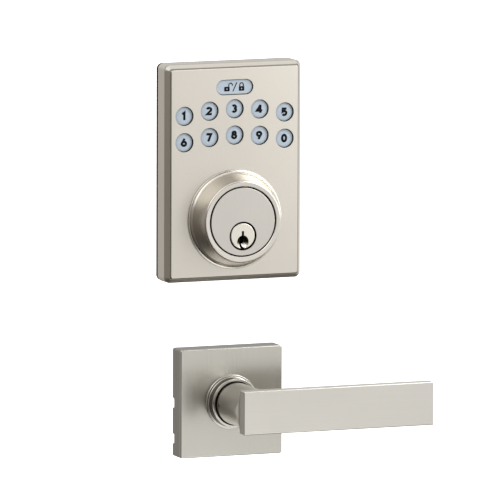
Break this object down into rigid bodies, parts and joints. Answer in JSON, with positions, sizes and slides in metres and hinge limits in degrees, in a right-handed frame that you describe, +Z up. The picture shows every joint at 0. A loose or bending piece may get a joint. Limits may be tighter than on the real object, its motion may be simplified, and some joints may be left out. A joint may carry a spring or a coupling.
{
  "type": "keypad smart lock",
  "caption": "Outside half of a door lock set: keypad deadbolt with a key cylinder above a straight lever handle on a square rose.",
  "frame": {"origin": "centre of the deadbolt's cross bore, on the outer face of the door", "axes": "+Z up the door, +Y into the door, +X to the right as seen from outside"},
  "size_m": [0.1417, 0.1115, 0.2175],
  "materials": {
    "satin_nickel": "satin nickel plate over cast zinc",
    "satin_nickel_turned": "satin nickel plate over turned brass",
    "cylinder_nickel": "brushed nickel plate over brass",
    "plug_nickel": "polished nickel plate over brass",
    "satin_nickel_brushed": "brushed satin nickel over steel",
    "lever_nickel": "satin nickel plate over cast zinc",
    "black_rubber": "matt black",
    "plated_steel": "zinc plated",
    "screw_steel": "zinc plated",
    "silicone": "translucent grey silicone",
    "board_green": "solder resist over glass epoxy",
    "contact_gold": "gold flash",
    "led_lens": "clear lens, blue light",
    "chip_black": "moulded black",
    "socket_white": "natural nylon",
    "pin_brass": "turned brass",
    "spring_wire": "bright spring steel",
    "black_acetal": "moulded black",
    "key_blue": "translucent pale blue, printed digit"
  },
  "bodies": {
    "root": {"escutcheon": "satin_nickel", "guard_collar": "satin_nickel_turned", "cylinder_housing": "cylinder_nickel", "rose": "satin_nickel_brushed", "hub_collar": "satin_nickel_turned", "keypad_gasket": "black_rubber", "cable_grommet": "black_rubber", "back_plate": "plated_steel", "back_plate_screws": "screw_steel", "cylinder_screws": "screw_steel", "board_screws": "screw_steel", "keypad_posts": "screw_steel", "lever_posts": "screw_steel", "keypad_mat": "silicone", "circuit_board": "board_green", "contact_pads": "contact_gold", "key_leds": "led_lens", "controller_chip": "chip_black", "buzzer": "chip_black", "harness_socket": "socket_white", "driver_pins": "pin_brass", "pin_springs": "spring_wire", "chamber_caps": "pin_brass", "lever_chassis": "plated_steel", "cage_cover": "plated_steel", "lever_bushing": "black_acetal", "thrust_washer": "spring_wire", "return_spring": "spring_wire", "rose_clips": "spring_wire"},
    "key_1": {"key_1": "key_blue"},
    "key_2": {"key_2": "key_blue"},
    "key_3": {"key_3": "key_blue"},
    "key_4": {"key_4": "key_blue"},
    "key_5": {"key_5": "key_blue"},
    "key_6": {"key_6": "key_blue"},
    "key_7": {"key_7": "key_blue"},
    "key_8": {"key_8": "key_blue"},
    "key_9": {"key_9": "key_blue"},
    "key_0": {"key_0": "key_blue"},
    "key_lock": {"key_lock": "key_blue"},
    "key_plug": {"key_plug": "plug_nickel", "key_pins": "pin_brass", "plug_cap": "plated_steel", "tailpiece": "plated_steel"},
    "lever": {"lever_handle": "lever_nickel", "lever_driver": "plated_steel", "driver_circlip": "spring_wire", "spindle": "plated_steel", "catch_spring": "spring_wire"},
    "lever_catch": {"lever_catch": "spring_wire"}
  },
  "joints": [
    {"name": "key_1_press", "type": "slide", "parent": "root", "child": "key_1", "axis": [0, 1, 0], "range_m": [0, 0.0009], "stiffness_N_per_m": 1200, "springref_m": -0.0003, "deforming": ["keypad_mat"]},
    {"name": "key_2_press", "type": "slide", "parent": "root", "child": "key_2", "axis": [0, 1, 0], "range_m": [0, 0.0009], "stiffness_N_per_m": 1200, "springref_m": -0.0003, "deforming": ["keypad_mat"]},
    {"name": "key_3_press", "type": "slide", "parent": "root", "child": "key_3", "axis": [0, 1, 0], "range_m": [0, 0.0009], "stiffness_N_per_m": 1200, "springref_m": -0.0003, "deforming": ["keypad_mat"]},
    {"name": "key_4_press", "type": "slide", "parent": "root", "child": "key_4", "axis": [0, 1, 0], "range_m": [0, 0.0009], "stiffness_N_per_m": 1200, "springref_m": -0.0003, "deforming": ["keypad_mat"]},
    {"name": "key_5_press", "type": "slide", "parent": "root", "child": "key_5", "axis": [0, 1, 0], "range_m": [0, 0.0009], "stiffness_N_per_m": 1200, "springref_m": -0.0003, "deforming": ["keypad_mat"]},
    {"name": "key_6_press", "type": "slide", "parent": "root", "child": "key_6", "axis": [0, 1, 0], "range_m": [0, 0.0009], "stiffness_N_per_m": 1200, "springref_m": -0.0003, "deforming": ["keypad_mat"]},
    {"name": "key_7_press", "type": "slide", "parent": "root", "child": "key_7", "axis": [0, 1, 0], "range_m": [0, 0.0009], "stiffness_N_per_m": 1200, "springref_m": -0.0003, "deforming": ["keypad_mat"]},
    {"name": "key_8_press", "type": "slide", "parent": "root", "child": "key_8", "axis": [0, 1, 0], "range_m": [0, 0.0009], "stiffness_N_per_m": 1200, "springref_m": -0.0003, "deforming": ["keypad_mat"]},
    {"name": "key_9_press", "type": "slide", "parent": "root", "child": "key_9", "axis": [0, 1, 0], "range_m": [0, 0.0009], "stiffness_N_per_m": 1200, "springref_m": -0.0003, "deforming": ["keypad_mat"]},
    {"name": "key_0_press", "type": "slide", "parent": "root", "child": "key_0", "axis": [0, 1, 0], "range_m": [0, 0.0009], "stiffness_N_per_m": 1200, "springref_m": -0.0003, "deforming": ["keypad_mat"]},
    {"name": "key_lock_press", "type": "slide", "parent": "root", "child": "key_lock", "axis": [0, 1, 0], "range_m": [0, 0.0009], "stiffness_N_per_m": 1200, "springref_m": -0.0003, "deforming": ["keypad_mat"]},
    {"name": "key_turn", "type": "hinge", "parent": "root", "child": "key_plug", "pos_m": [0, 0, -0.0079], "axis": [0, 1, 0], "range_deg": [-90, 90]},
    {"name": "lever_turn", "type": "hinge", "parent": "root", "child": "lever", "pos_m": [0, 0, -0.1016], "axis": [0, 1, 0], "range_deg": [-50, 50], "stiffness_Nm_per_rad": 1.4, "springref_deg": -2.86, "deforming": ["return_spring"]},
    {"name": "catch_press", "type": "slide", "parent": "lever", "child": "lever_catch", "axis": [1, 0, 0], "range_m": [0, 0.0015], "stiffness_N_per_m": 500, "springref_m": -0.0006, "deforming": ["catch_spring"]}
  ]
}
